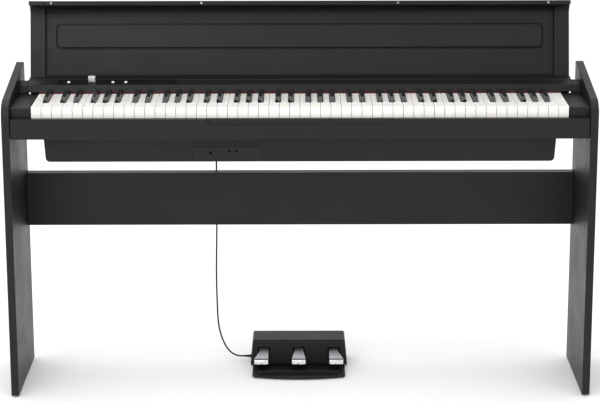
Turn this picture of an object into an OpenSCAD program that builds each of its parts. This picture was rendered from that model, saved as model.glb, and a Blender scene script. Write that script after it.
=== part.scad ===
// Digital piano on a flat-panel stand: full keyboard, folding lid with a music rest,
// and a separate three-pedal unit on a cord.
// Millimetres. X runs along the keyboard, +Y to the back, +Z up from the floor.
// Inside the modules y = 0 is the front plane of the side panels; in_frame() then
// moves each piece so that the origin is under the middle of the whole object.

/* [Keyboard] */
// Spacing of the white keys, centre to centre
white_pitch = 23.56; // [22.5:0.02:24.5]
// Length of a white key in front of the felt
white_len = 149.3; // [130:0.1:180]
// Height of a white key's front face
white_front_h = 28; // [20:1:28]
// Length of the raised part of a black key
black_len = 98; // [85:1:105]
// Width of a black key at its foot
black_w = 11; // [9:0.5:12]
// Height of a black key above the white keys
black_h = 11.5; // [9:0.5:13.5]
// Gap between neighbouring white keys
key_gap = 0.9; // [0.6:0.1:1.4]
// Height from the key bed to the top of the white keys
key_stack_h = 57.5; // [57.5:0.5:72]
// Radius of the rod that the keys turn on
key_rod_r = 2; // [1.6:0.1:2.5]

/* [Stand] */
// Height of the side panels at the back, from the floor
panel_h = 750; // [620:5:920]
// Depth of the side panels
panel_d = 275; // [260:5:340]
// Thickness of the side panels
panel_t = 18; // [15:1:25]
// Fall of the side panels' top edge towards the front, in degrees
panel_slope = 9.8; // [4:0.2:14]
// Radius of the side panels' top front corner
panel_corner_r = 37; // [20:1:60]
// Space between the end keys and the side panels
cheek_space = 47; // [40:1:60]
// Height of the cross brace
brace_h = 130; // [90:5:160]
// Thickness of the cross brace
brace_t = 28; // [18:1:30]
// Gap between the lower case and the cross brace
brace_gap = 69; // [40:1:110]
// Height of the glides under the side panels
glide_h = 3; // [2:0.5:5]
// Radius of the stand bolts' shanks
bolt_r = 3; // [2.5:0.5:4]

/* [Case] */
// Height of the front rail
rail_h = 47; // [40:1:47]
// Thickness of the front rail
rail_t = 15; // [12:1:18]
// Height of the lower case under the key bed
case_h = 69; // [60:1:90]
// Wall of the lower case
case_wall = 4; // [3:0.5:6]
// Thickness of the key bed
bed_t = 14; // [12:1:18]
// Depth of the ledge that carries the controls
ledge_d = 25; // [22:1:28]
// Depth of the raised strip behind the ledge
strip_d = 29; // [24:1:30]
// Wall of the control panel
cover_wall = 3; // [2:0.5:4]
// Radius of the push buttons
button_r = 3.5; // [3:0.1:5]
// Travel of the volume slider to each side
slider_travel = 20; // [10:1:25]
// Radius of the headphone socket's hole
phone_hole_r = 3.25; // [3.2:0.01:3.4]

/* [Lid] */
// Angle through which the lid opens, in degrees
lid_open = 103.5; // [95:0.5:110]
// Thickness of the lid at its end caps
lid_t = 25; // [20:1:30]
// Width of each end cap
cap_w = 35; // [24:1:40]
// Depth of the lid's panel below the end caps
cap_proud = 12; // [6:1:14]
// Radius of the lid's curved front edge, outside
lid_curve_r = 38.5; // [30:0.5:44]
// Length of the lid behind its pivots
lid_tail = 56; // [40:1:60]
// Height of the music rest
rest_h = 55; // [40:0.5:62]
// Thickness of the music rest
rest_t = 5; // [4:0.5:6]
// Radius of the lid's pivot pins
pin_r = 3; // [2.5:0.1:4]

/* [Pedals] */
// Width of the pedal unit's cover at its foot
unit_w = 236; // [215:1:260]
// Height of the pedal unit
unit_h = 66; // [55:1:80]
// Depth of the pedal unit from front to back
unit_d = 182; // [170:1:220]
// Spacing of the pedals, centre to centre
pedal_pitch = 85.5; // [80:0.5:90]
// Width of a pedal where it leaves the cover
pedal_w = 23.5; // [18:0.5:28]
// Width of a pedal at its front
pedal_tip_w = 34; // [30:0.5:38]
// Height of the pedals' top face
pedal_z = 36; // [30:0.5:40]
// Radius of the rod that the pedals turn on
pedal_rod_r = 2; // [1.6:0.1:2.5]
// Diameter of the pedal cord
cord_d = 4; // [3:0.1:5]

/* [Hidden] */
$fn = 48;
eps = 1;

// Colours
panel_black = "#2d2f2e";
case_black = "#1d1e1e";
gloss_black = "#0d0e0f";
key_white = "#f3f1ea";
key_black = "#151515";
felt_red = "#7a1f2b";
frame_grey = "#6d6f70";
board_green = "#1f5a3a";
steel = "#9a9da0";
chrome = "#cfd2d4";
rubber = "#2a2a2a";
wood = "#8c7558";

// Running clearance of a shaft in its bore
run_gap = 0.05;

// Keyboard, from left to right
white_count = 52;
keys_w = white_count * white_pitch;
inner_x = keys_w / 2 + cheek_space;
outer_x = inner_x + panel_t;
side_gap = 1.2;
sharp_shift = [-3, 3, 0, -4, 0, 4, 0];

// Front to back
rail_y = 5;
rail_gap = 2.7;
key_front = rail_y + rail_t + rail_gap;
fall_y = key_front + white_len;
fall_lean = 6;
ledge_y = fall_y + fall_lean;
strip_y = ledge_y + ledge_d;
strip_rear = strip_y + strip_d;
key_rod_y = fall_y + 28;
key_rear = key_rod_y + 5;
bed_rear = key_rear + 4;
body_rear = bed_rear + cover_wall;
black_front = fall_y - 1 - black_len;
case_y = rail_y + 70;

// Heights
key_top = panel_h - 59.5;
bed_z = key_top - key_stack_h;
bed_bottom = bed_z - bed_t;
case_z = bed_bottom - case_h;
brace_z = case_z - brace_gap - brace_h;
fall_z = key_top + 3.5;
ledge_z = fall_z + 16.4;
key_rod_z = key_top - 10.5;
key_under = key_top - 13;

// Half widths
body_x = keys_w / 2 + 27;
plate_t = 3;
lid_x = body_x + 0.5;
panel_in_x = lid_x - cap_w;
case_x = keys_w / 2 - 19.5;
case_draft = 4;
board_x = keys_w / 2 - 12;

// Lid, in u along the lid from its pivots and v away from its inside face
hinge_y = body_rear + 1.6;
hinge_z = key_top + 15;
lid_lean = lid_open - 90;
lid_under = 20;
lid_top = lid_under + lid_t;
panel_under = lid_under + cap_proud;
lid_front = 17.5;
lid_tip_u = hinge_y - lid_front;
lid_arc_u = lid_tip_u - lid_curve_r;
lid_arc_v = lid_top - lid_curve_r;
lip_v = -12;
strip_t = 2.5;
lip_t = 10.6;
lip_in_u = lid_tip_u - lip_t;
cap_lip_t = 9.6;
panel_in_r = 30;
cap_in_r = 26;
rest_u = 87;
rest_gap = 3;
rest_x = panel_in_x - 28.5;
rest_corner_r = 14;
rest_pin_r = 1.2;
rest_pin_reach = rest_gap + 4;
rest_axis_u = rest_u + rest_t / 2;
rest_axis_v = panel_under + rest_t / 2;

// Back of the open lid, from the side panels' front
lid_rear = hinge_y + lid_arc_u * sin(lid_lean) + lid_arc_v * cos(lid_lean) + lid_curve_r;

// The ledge slopes up to the strip, and the strip goes on up to its rear edge
ledge_rise = 7.6;
ledge_tilt = atan(ledge_rise / ledge_d);
ledge_len = ledge_d / cos(ledge_tilt);
strip_z = ledge_z + ledge_rise + 0.6;
strip_rise = 5.4;
strip_edge_h = 9;

// Controls, along the slope from the ledge's front edge and up from its face
control_y = ledge_len / 2;
control_x0 = -keys_w / 2 + 37.5;
led_x = control_x0 + 3;
power_x = control_x0 + 31;
slider_x = control_x0 + 86;
song_x = control_x0 + 135;
sound_x = control_x0 + 165.5;
insert_w = 285;
insert_t = 0.6;
button_gap = 0.3;
button_rise = 1.4;
button_flange_h = 3;
knob_w = 16.5;
knob_d = 12;
knob_h = 14;
stem_w = 8;
stem_t = 2;
led_r = 1.2;
control_board_z = -12;
board_t = 1.6;

// Sockets
jack_x = -248;
jack_w = 156;
jack_h = 30.5;
jack_z = case_z + 4.5;
jack_t = 1.5;
phone_x = jack_x + 41.3;
phone_z = jack_z + 16.5;
small_jack_x = [jack_x + 84.5, jack_x + 101.3];
small_jack_z = phone_z + 4;
plug_x = -202;
inlet_x = -240;
rear_socket_z = case_z + 25;
barrel_r = 6;
flange_r = 7.35;
flange_t = 2;
rear_flange_t = 1.5;

// Pedal unit, which stands a little to the left of the middle
unit_x = -4;
unit_rear = panel_d + 20;
unit_front = unit_rear - unit_d;
feet_h = 2.5;
base_t = 4;
base_x = unit_w / 2 - 6;
base_top = feet_h + base_t;
cover_z = feet_h + 1.5;
cover_top_x = unit_w / 2 - 5.5;
cover_front = unit_rear - 84;
cover_top_front = unit_rear - 77;
pedal_t = 5;
pedal_lip_h = 11;
pedal_front = unit_front + 41;
pedal_rod_y = unit_rear - 15;
pedal_rod_z = pedal_z - pedal_t / 2;
pedal_hub_r = 6;
pedal_rear = pedal_rod_y + 3;

// Middle of the object's whole depth, from the side panels' front
mid_y = max(lid_rear, unit_rear, panel_d) / 2;

slot_side_gap = 3;
bracket_t = 4;
bracket_x = [
  -pedal_pitch - pedal_w / 2 - 3.5, -pedal_pitch / 2, pedal_pitch / 2,
  pedal_pitch + pedal_w / 2 + 3.5,
];
gland_y = unit_rear - 42;
gland_z = 13;
gland_r = 4;

// The pedal cord's route, from the plug's relief to the gland
cord_route = [
  [-202, 258, 575], [-202, 264, 575], [-202, 273, 572], [-202, 280, 565], [-202, 284, 553],
  [-203, 285, 525], [-203, 285, 480], [-203, 285, 430], [-204, 285, 380], [-204, 285, 330],
  [-205, 285, 280], [-206, 285, 230], [-206, 285, 180], [-205, 285, 140], [-204, 284, 107],
  [-201, 281, 79], [-195, 277, 56], [-186, 271, 36], [-176, 266, 23], [-167, 262, 16.5],
  [-158, 258, 13.5], [-149, 255, 12.5], [-141, 253.4, 12.8], [-139, 253, 13],
];
cord_steps = 3;
cord_sides = 10;

// Points along a round corner in a plane
function arc(c, r, a0, a1, n = 12) =
  [for (i = [0:n]) let (a = a0 + (a1 - a0) * i / n) [c[0] + r * cos(a), c[1] + r * sin(a)]];

// Moves a piece from the side panels' front plane to the object's own frame
module in_frame() {
  translate([0, -mid_y, 0])
    children();
}

// Moves a piece of the pedal unit, drawn about x = 0, to its place
module in_unit() {
  in_frame()
    translate([unit_x, 0, 0])
      children();
}

// Tilts a piece drawn on a flat ledge onto the slope, with y = 0 at the ledge's front edge
module at_ledge() {
  translate([0, ledge_y, ledge_z])
    rotate([ledge_tilt, 0, 0])
      children();
}

// Height of the ledge's and of the strip's top face at y
function ledge_top(y) = ledge_z + (y - ledge_y) * ledge_rise / ledge_d;
function strip_top(y) = strip_z + (y - strip_y) * strip_rise / strip_d;

// Extrudes a y-z outline from x0 to x1
module along_x(x0, x1) {
  translate([x0, 0, 0])
    rotate([90, 0, 90])
      linear_extrude(x1 - x0)
        children();
}

// Extrudes an x-z outline from y0 to y1
module along_y(y0, y1) {
  translate([0, y1, 0])
    rotate([90, 0, 0])
      linear_extrude(y1 - y0)
        children();
}

// A block between two corners
module block(a, b) {
  translate(a)
    cube([b[0] - a[0], b[1] - a[1], b[2] - a[2]]);
}

// A rod along X
module rod_x(x0, x1, r, y, z) {
  translate([x0, y, z])
    rotate([0, 90, 0])
      cylinder(h = x1 - x0, r = r);
}

// A rod along Y
module rod_y(y0, y1, r, x, z) {
  translate([x, y1, z])
    rotate([90, 0, 0])
      cylinder(h = y1 - y0, r = r);
}

// Draws a piece on both sides of the keyboard
module both_sides() {
  children();
  mirror([1, 0, 0])
    children();
}

/* ---- Stand ---- */

foot_r = 6;
glide_r = 7.5;
glide_inset = 25;
bolt_head_r = 6.5;
bolt_head_h = 4;
bolt_reach = 45;
bolt_edge = 25;
brace_rear = panel_d - 2;
// Bolts into the ends of the brace and of the key bed, as y and z
bolt_spots = [
  [brace_rear - brace_t / 2, brace_z + bolt_edge],
  [brace_rear - brace_t / 2, brace_z + brace_h - bolt_edge],
  [rail_y + 55, bed_bottom + bed_t / 2],
  [bed_rear - 29, bed_bottom + bed_t / 2],
];

// Centre of the rounded corner, tangent to the front edge and to the sloping top
corner_z = panel_h - (panel_d - panel_corner_r) * tan(panel_slope)
  - panel_corner_r / cos(panel_slope);

rear_corner_z = panel_h - foot_r * tan(panel_slope) - foot_r / cos(panel_slope);

module side_panel_outline() {
  polygon(concat(
    arc([foot_r, glide_h + foot_r], foot_r, 270, 180, 6),
    arc([panel_corner_r, corner_z], panel_corner_r, 180, 90 + panel_slope, 20),
    arc([panel_d - foot_r, rear_corner_z], foot_r, 90 + panel_slope, 0, 6),
    arc([panel_d - 2, glide_h + 2], 2, 0, -90, 4)
  ));
}

module side_panel() {
  color(panel_black)
    difference() {
      along_x(inner_x, outer_x)
        side_panel_outline();
      for (s = bolt_spots) {
        rod_x(inner_x - eps, outer_x + eps, bolt_r, s[0], s[1]);
        rod_x(outer_x - bolt_head_h, outer_x + eps, bolt_head_r, s[0], s[1]);
      }
    }
}

module side_panel_right() {
  in_frame()
    side_panel();
}

module side_panel_left() {
  in_frame()
    mirror([1, 0, 0])
      side_panel();
}

module cross_brace() {
  color(panel_black)
    in_frame()
      difference() {
        block([-inner_x, brace_rear - brace_t, brace_z],
              [inner_x, brace_rear, brace_z + brace_h]);
        both_sides()
          for (s = [bolt_spots[0], bolt_spots[1]])
            rod_x(inner_x - bolt_reach, inner_x + eps, bolt_r, s[0], s[1]);
      }
}

module foot_glides() {
  color(rubber)
    in_frame()
      both_sides()
        for (y = [glide_inset, panel_d - glide_inset])
          translate([inner_x + panel_t / 2, y, 0])
            cylinder(h = glide_h, r = glide_r);
}

module stand_bolts() {
  color(steel)
    in_frame()
      both_sides()
        for (s = bolt_spots)
          difference() {
            union() {
              rod_x(outer_x - bolt_head_h, outer_x - 0.3, bolt_head_r, s[0], s[1]);
              rod_x(inner_x - bolt_reach, outer_x - bolt_head_h, bolt_r, s[0], s[1]);
            }
            rod_x(outer_x - 3, outer_x + eps, 2.9, s[0], s[1], $fn = 6);
          }
}

/* ---- Case ---- */

rail_side_gap = 0.8;
scoop_x = 216;
scoop_h = 15;
scoop_d = 4;
cheek_gap = 1.5;

// The rail's front is scooped out at the top for the fingers that open the lid
module front_rail() {
  rail_z = bed_bottom;
  color(panel_black)
    in_frame()
      difference() {
        block([rail_side_gap - inner_x, rail_y, rail_z],
              [inner_x - rail_side_gap, rail_y + rail_t, rail_z + rail_h]);
        along_y(rail_y - eps, rail_y + scoop_d)
          polygon([
            [-scoop_x, rail_z + rail_h + eps],
            [scoop_x, rail_z + rail_h + eps],
            [scoop_x - scoop_h, rail_z + rail_h - scoop_h],
            [scoop_h - scoop_x, rail_z + rail_h - scoop_h],
          ]);
      }
}

// A cheek fills the space beside the end key, and its rear part the space beside the ledge
module cheek() {
  front = rail_y + rail_t + 1;
  rear = strip_y - 1;
  r = 4;
  color(panel_black) {
    along_x(keys_w / 2 + cheek_gap, inner_x)
      polygon(concat(
        [[front, bed_z]],
        arc([front + r, key_top - r - 0.5], r, 180, 90, 6),
        [[fall_y + 4, key_top - 0.5], [fall_y + 4, bed_z]]
      ));
    along_x(body_x + 0.3, inner_x)
      polygon([
        [fall_y, bed_z], [fall_y, fall_z], [ledge_y, ledge_z], [rear, ledge_top(rear)],
        [rear, bed_z],
      ]);
  }
}

module cheek_right() {
  in_frame()
    cheek();
}

module cheek_left() {
  in_frame()
    mirror([1, 0, 0])
      cheek();
}

module key_bed() {
  color(wood)
    in_frame()
      difference() {
        block([-inner_x, rail_y + rail_t, bed_bottom], [inner_x, bed_rear, bed_z]);
        both_sides()
          for (s = [bolt_spots[2], bolt_spots[3]])
            rod_x(inner_x - bolt_reach, inner_x + eps, bolt_r, s[0], s[1]);
      }
}

// The lower case's end outline, drafted and round at the bottom corners
module case_outline(inset) {
  r = 10;
  x_low = case_x - case_draft - inset;
  x_top = case_x - inset;
  z_low = case_z + inset;
  polygon(concat(
    [[-x_top, bed_bottom], [x_top, bed_bottom]],
    arc([x_low - r, z_low + r], r, 0, -90, 8),
    arc([r - x_low, z_low + r], r, -90, -180, 8)
  ));
}

speaker_x = case_x - 193;
speaker_y = (case_y + body_rear) / 2;
speaker_r = 46;
grille_slots = 9;
grille_pitch = 9;

module lower_case() {
  color(case_black)
    in_frame()
      difference() {
        along_y(case_y, body_rear)
          case_outline(0);
        difference() {
          along_y(case_y + case_wall, body_rear - case_wall)
            case_outline(case_wall);
          block([-case_x, case_y, bed_bottom], [case_x, body_rear, bed_bottom + eps]);
        }
        // Opening behind the socket panel
        block([jack_x + 5, case_y - eps, jack_z + 4],
              [jack_x + jack_w - 5, case_y + case_wall + eps, jack_z + jack_h - 4]);
        // Holes for the sockets at the back
        for (x = [plug_x, inlet_x])
          rod_y(body_rear - case_wall - eps, body_rear + eps, barrel_r, x, rear_socket_z);
        // Sound slots under each speaker
        for (side = [-1, 1], k = [0:grille_slots - 1])
          translate([side * speaker_x - speaker_r * 0.7,
                     speaker_y + (k - (grille_slots - 1) / 2) * grille_pitch - 2,
                     case_z - eps])
            cube([speaker_r * 1.4, 4, case_wall + 2 * eps]);
      }
}

// Side outline of the control panel: fallboard face, sloping ledge and strip
module control_outline(inset) {
  drop = inset / cos(ledge_tilt);
  polygon([
    [fall_y + inset, fall_z],
    [ledge_y + inset, ledge_top(ledge_y + inset) - drop],
    [strip_y, ledge_top(strip_y) - drop],
    [strip_y + 0.5, strip_top(strip_y + 0.5) - drop],
    [strip_rear - inset, strip_top(strip_rear - inset) - drop],
    [strip_rear - inset, strip_top(strip_rear) - strip_edge_h],
    [bed_rear, fall_z],
  ]);
}

// Plan of the control panel: the strip is narrower at its ends, under the lid's end caps
strip_end_y = strip_rear - 11;
strip_end_x = panel_in_x - 12;
strip_end_run = 8;
module control_plan(inset) {
  half = body_x - inset;
  x = strip_end_x - inset;
  y = strip_end_y - inset;
  polygon([
    [-half, fall_y - eps], [half, fall_y - eps], [half, y], [x + strip_end_run, y],
    [x, strip_rear - inset], [x, strip_rear + eps], [-x, strip_rear + eps],
    [-x, strip_rear - inset], [-x - strip_end_run, y], [-half, y],
  ]);
}

module control_shell(inset) {
  intersection() {
    along_x(-body_x - eps, body_x + eps)
      control_outline(inset);
    linear_extrude(panel_h)
      control_plan(inset);
  }
}

boss_r = 2.5;
boss_y = 7;
// Bosses that hold the control board, along X
boss_x = [control_x0 + 8, control_x0 + 50, control_x0 + 230];
open_z = fall_z + 7.4;

module control_panel() {
  color(panel_black)
    in_frame() {
      difference() {
        control_shell(0);
        control_shell(cover_wall);
        // Open underneath, behind the fallboard
        along_x(cover_wall - body_x, body_x - cover_wall)
          polygon([
            [fall_y + cover_wall, fall_z - eps], [fall_y + cover_wall, fall_z], [ledge_y, open_z],
            [strip_rear - cover_wall, open_z], [strip_rear - cover_wall, fall_z - eps],
          ]);
        at_ledge() {
          for (x = [power_x, song_x, sound_x])
            translate([x, control_y, -cover_wall - eps])
              cylinder(h = cover_wall + 2 * eps, r = button_r + button_gap);
          translate([led_x, control_y, -cover_wall - eps])
            cylinder(h = cover_wall + 2 * eps, r = led_r);
          slider_slot(-cover_wall - eps, eps);
        }
      }
      at_ledge()
        for (x = boss_x)
          translate([x, boss_y, control_board_z + board_t])
            cylinder(h = -cover_wall - control_board_z - board_t, r = boss_r);
    }
}

// The slot that the volume slider's stem runs in
module slider_slot(z0, z1) {
  reach = slider_travel + stem_w / 2 + 1;
  half = stem_t / 2 + 0.5;
  block([slider_x - reach, control_y - half, z0], [slider_x + reach, control_y + half, z1]);
}

module panel_insert() {
  color(gloss_black)
    in_frame()
      at_ledge()
        difference() {
          block([control_x0, 1, 0], [control_x0 + insert_w, ledge_len - 0.5, insert_t]);
          for (x = [power_x, song_x, sound_x])
            translate([x, control_y, -eps])
              cylinder(h = insert_t + 2 * eps, r = button_r + button_gap);
          translate([led_x, control_y, -eps])
            cylinder(h = insert_t + 2 * eps, r = led_r);
          slider_slot(-eps, insert_t + eps);
        }
}

// The cover stands behind the key bed, between the control panel's end walls and under its strip
module rear_cover() {
  drop = cover_wall / cos(ledge_tilt);
  color(case_black)
    in_frame()
      along_x(cover_wall - body_x, body_x - cover_wall)
        polygon([
          [bed_rear, bed_bottom], [body_rear, bed_bottom],
          [body_rear, strip_top(body_rear) - drop], [bed_rear, strip_top(bed_rear) - drop],
        ]);
}

module jack_panel() {
  color(gloss_black)
    in_frame()
      difference() {
        block([jack_x, case_y - jack_t, jack_z], [jack_x + jack_w, case_y, jack_z + jack_h]);
        rod_y(case_y - jack_t - eps, case_y + eps, barrel_r, phone_x, phone_z);
        for (x = small_jack_x)
          rod_y(case_y - jack_t - eps, case_y + eps, small_barrel_r, x, small_jack_z);
      }
}

small_barrel_r = 2.6;
small_hole_r = 1.8;
phone_depth = 23;
small_depth = 14;
plug_hole_depth = 20;

module sockets() {
  face = case_y - jack_t;
  color(rubber)
    in_frame() {
      // Headphone socket with its ring
      difference() {
        union() {
          rod_y(face - flange_t, face, flange_r, phone_x, phone_z);
          rod_y(face, face + phone_depth, barrel_r, phone_x, phone_z);
        }
        rod_y(face - flange_t - eps, face - flange_t + phone_depth, phone_hole_r, phone_x, phone_z);
      }
      // Two small sockets
      for (x = small_jack_x)
        difference() {
          rod_y(face - 0.4, face + small_depth + 2, small_barrel_r, x, small_jack_z);
          rod_y(face - eps, face + small_depth, small_hole_r, x, small_jack_z);
        }
      // Pedal socket and power inlet at the back
      for (x = [plug_x, inlet_x])
        difference() {
          union() {
            rod_y(body_rear, body_rear + rear_flange_t, flange_r, x, rear_socket_z);
            rod_y(body_rear - 24, body_rear, barrel_r, x, rear_socket_z);
          }
          rod_y(body_rear + rear_flange_t - plug_hole_depth, body_rear + rear_flange_t + eps,
                phone_hole_r, x, rear_socket_z);
        }
    }
}

/* ---- Action and electronics ---- */

felt_t = 2;
module key_felt() {
  color(felt_red)
    in_frame()
      block([-keys_w / 2, fall_y, fall_z - felt_t], [keys_w / 2, fall_y + felt_t, fall_z]);
}

frame_t = 3;
frame_front = key_front + 10;
stop_rail_z = key_top - 26.5;
board_z = key_top - 28.5;
board_y0 = fall_y - 62;
board_y1 = fall_y - 22;
end_plate_t = 3;

module action_frame() {
  half = keys_w / 2 - 0.5;
  color(frame_grey)
    in_frame() {
      block([-half, frame_front, bed_z], [half, key_rear, bed_z + frame_t]);
      block([-half, frame_front + 2, bed_z], [half, frame_front + 14, stop_rail_z]);
      block([-half, board_y0, bed_z], [half, board_y1, board_z]);
      both_sides()
        difference() {
          block([half - 0.01, key_rod_y - 8, bed_z],
                [half + end_plate_t + 0.8, key_rear, key_top - 2]);
          block([half - eps, key_rod_y - 9, bed_z + frame_t + 3], [half + 0.8, key_rear + eps, key_top]);
          rod_x(half, half + end_plate_t + 2, key_rod_r, key_rod_y, key_rod_z);
        }
    }
}

module key_pivot_rod() {
  reach = keys_w / 2 + 0.3 + end_plate_t;
  color(steel)
    in_frame()
      rod_x(-reach, reach, key_rod_r, key_rod_y, key_rod_z);
}

module contact_board() {
  color(board_green)
    in_frame()
      block([-board_x, board_y0 + 2, board_z], [board_x, board_y1 - 2, board_z + board_t]);
}

dome_r = 4.5;
dome_y = fall_y - 42;
dome_h = 8;

// One rubber dome under each key
module contact_domes() {
  color(rubber)
    in_frame()
      for (x = concat([for (i = [0:white_count - 1]) white_mid_x(i)],
                      [for (i = [0:white_count - 2]) if (has_sharp(i)) sharp_x(i)]))
        translate([x, dome_y, board_z + board_t])
          cylinder(h = dome_h, r1 = dome_r, r2 = dome_r - 1.5);
}

switch_w = 6;
switch_h = 2.5;
module control_board() {
  color(board_green)
    in_frame()
      at_ledge() {
        block([control_x0 - 5, 4, control_board_z],
              [control_x0 + insert_w - 40, ledge_len - 3, control_board_z + board_t]);
        for (x = [power_x, song_x, sound_x])
          block([x - switch_w / 2, control_y - switch_w / 2, control_board_z + board_t],
                [x + switch_w / 2, control_y + switch_w / 2, control_board_z + board_t + switch_h]);
      }
}

main_x0 = jack_x - 20;
main_w = 170;
main_z = case_z + case_wall + 8;
main_y0 = case_y + 32;
main_y1 = body_rear - 30;
post_r = 3;

module main_board() {
  color(board_green)
    in_frame() {
      block([main_x0, main_y0, main_z], [main_x0 + main_w, main_y1, main_z + board_t]);
      for (x = [main_x0 + 8, main_x0 + main_w - 8], y = [main_y0 + 8, main_y1 - 8])
        translate([x, y, case_z + case_wall])
          cylinder(h = main_z - case_z - case_wall, r = post_r);
      // Chips and capacitors
      for (k = [0:3])
        block([main_x0 + 22 + 34 * k, main_y0 + 14, main_z + board_t],
              [main_x0 + 40 + 34 * k, main_y0 + 32, main_z + board_t + 3]);
      for (k = [0:4])
        translate([main_x0 + 30 + 28 * k, main_y1 - 16, main_z + board_t])
          cylinder(h = 12, r = 4);
    }
}

// A speaker that faces down: frame ring, cone and magnet in one turned outline
module speaker(side) {
  r = speaker_r;
  color(case_black)
    in_frame()
      translate([side * speaker_x, speaker_y, case_z + case_wall])
        rotate_extrude()
          polygon([
            [r * 0.78, 0], [r, 0], [r, 3], [r * 0.86, 4], [r * 0.58, 20], [r * 0.58, 38],
            [0, 38], [0, 13], [r * 0.24, 13],
          ]);
}

module speaker_left() {
  speaker(-1);
}

module speaker_right() {
  speaker(1);
}

/* ---- Controls ---- */

// A flanged button under the ledge, drawn at rest with its flange clear of the wall
module push_button(x) {
  flange_top = -cover_wall - 0.4;
  color(key_white)
    in_frame()
      at_ledge()
        translate([x, control_y, 0]) {
          translate([0, 0, flange_top - button_flange_h])
            cylinder(h = button_flange_h, r = button_r + 1);
          translate([0, 0, flange_top - eps])
            cylinder(h = insert_t + button_rise - flange_top + eps, r = button_r);
        }
}

module power_button() {
  push_button(power_x);
}

module song_button() {
  push_button(song_x);
}

module sound_button() {
  push_button(sound_x);
}

// The knob is hollowed a little across its front so that a finger finds it
module volume_slider() {
  z0 = insert_t + 0.6;
  hollow_r = 30;
  color(chrome)
    in_frame() at_ledge() {
      difference() {
        block([slider_x - knob_w / 2, control_y - knob_d / 2, z0],
              [slider_x + knob_w / 2, control_y + knob_d / 2, z0 + knob_h]);
        translate([slider_x, control_y - knob_d / 2 - hollow_r + 1.6, z0 - eps])
          cylinder(h = knob_h + 2 * eps, r = hollow_r, $fn = 96);
      }
      block([slider_x - stem_w / 2, control_y - stem_t / 2, control_board_z + board_t + 2],
            [slider_x + stem_w / 2, control_y + stem_t / 2, z0]);
    }
}

module power_led() {
  color(felt_red)
    in_frame()
      at_ledge()
        translate([led_x, control_y, -cover_wall - 1])
          cylinder(h = cover_wall + 1 + insert_t + 0.5, r = led_r);
}

/* ---- Keys ---- */

// Letter of a white key: 0 is C and 6 is B; the first key is an A
function letter(i) = (i + 5) % 7;
function white_x(i) = (i - white_count / 2) * white_pitch;
// Whether a black key follows this white key
function has_sharp(i) =
  i >= 0 && i < white_count - 1 && letter(i) != 2 && letter(i) != 6;
function sharp_x(i) = white_x(i + 1) + sharp_shift[letter(i)];
// Sides of a white key's narrow part, between the black keys
function white_left(i) = has_sharp(i - 1)
  ? sharp_x(i - 1) + black_w / 2 + side_gap : white_x(i) + key_gap / 2;
function white_right(i) = has_sharp(i)
  ? sharp_x(i) - black_w / 2 - side_gap : white_x(i + 1) - key_gap / 2;
function white_mid_x(i) = (white_left(i) + white_right(i)) / 2;

notch_y = black_front - 1.6;
lip_reach = 1;
lip_h = 3;
skirt_t = 3;
hub_drop = 16;
hub_half = 5;

module white_plan(i) {
  x0 = white_x(i) + key_gap / 2;
  x1 = white_x(i + 1) - key_gap / 2;
  polygon(concat(
    [[x0, key_front], [x1, key_front]],
    has_sharp(i) ? [[x1, notch_y], [white_right(i), notch_y]] : [],
    [[white_right(i), key_rear], [white_left(i), key_rear]],
    has_sharp(i - 1) ? [[white_left(i), notch_y], [x0, notch_y]] : []
  ));
}

module white_side() {
  polygon([
    [key_front, key_top], [key_rear, key_top], [key_rear, key_top - hub_drop],
    [key_rod_y - hub_half, key_top - hub_drop], [key_rod_y - hub_half, key_under],
    [key_front + lip_reach + skirt_t, key_under],
    [key_front + lip_reach + skirt_t, key_top - white_front_h],
    [key_front + lip_reach, key_top - white_front_h],
    [key_front + lip_reach, key_top - lip_h], [key_front, key_top - lip_h],
  ]);
}

module key_bore(x0, x1) {
  rod_x(x0 - eps, x1 + eps, key_rod_r + run_gap, key_rod_y, key_rod_z);
}

module white_key(i) {
  difference() {
    intersection() {
      translate([0, 0, key_top - 40])
        linear_extrude(60)
          white_plan(i);
      along_x(white_x(i), white_x(i + 1))
        white_side();
    }
    key_bore(white_x(i), white_x(i + 1));
  }
}

// A black key tapers towards its top, and its front face slopes back
module black_key(i) {
  x = sharp_x(i);
  foot = black_w / 2;
  crown = black_w / 2 - 0.8;
  low = key_top - hub_drop - eps;
  difference() {
    intersection() {
      along_x(x - black_w, x + black_w)
        polygon([
          [black_front, key_under], [black_front, key_top + 1],
          [black_front + 7, key_top + black_h - 1.5], [black_front + 10, key_top + black_h],
          [fall_y - 1, key_top + black_h], [fall_y - 1, key_top - 0.5],
          [key_rear, key_top - 0.5], [key_rear, key_top - hub_drop],
          [key_rod_y - hub_half, key_top - hub_drop], [key_rod_y - hub_half, key_under],
        ]);
      translate([x, 0, 0])
        along_y(black_front - eps, key_rear + eps)
          polygon([
            [-foot, low], [foot, low], [foot, key_top],
            [crown, key_top + black_h + eps], [-crown, key_top + black_h + eps], [-foot, key_top],
          ]);
    }
    key_bore(x - black_w, x + black_w);
  }
}

// Every key of one white note
module white_note(n) {
  color(key_white)
    in_frame()
      for (i = [0:white_count - 1])
        if (letter(i) == n)
          white_key(i);
}

// Every key of one black note, named after the white note below it
module black_note(n) {
  color(key_black)
    in_frame()
      for (i = [0:white_count - 2])
        if (letter(i) == n && has_sharp(i))
          black_key(i);
}

module keys_c() { white_note(0); }
module keys_c_sharp() { black_note(0); }
module keys_d() { white_note(1); }
module keys_d_sharp() { black_note(1); }
module keys_e() { white_note(2); }
module keys_f() { white_note(3); }
module keys_f_sharp() { black_note(3); }
module keys_g() { white_note(4); }
module keys_g_sharp() { black_note(4); }
module keys_a() { white_note(5); }
module keys_a_sharp() { black_note(5); }
module keys_b() { white_note(6); }

/* ---- Lid ---- */

// Places a piece drawn on the closed lid, pivots at the origin, on the open lid
module on_lid() {
  in_frame()
    translate([0, hinge_y, hinge_z])
      rotate([-lid_open, 0, 0])
        children();
}

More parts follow.
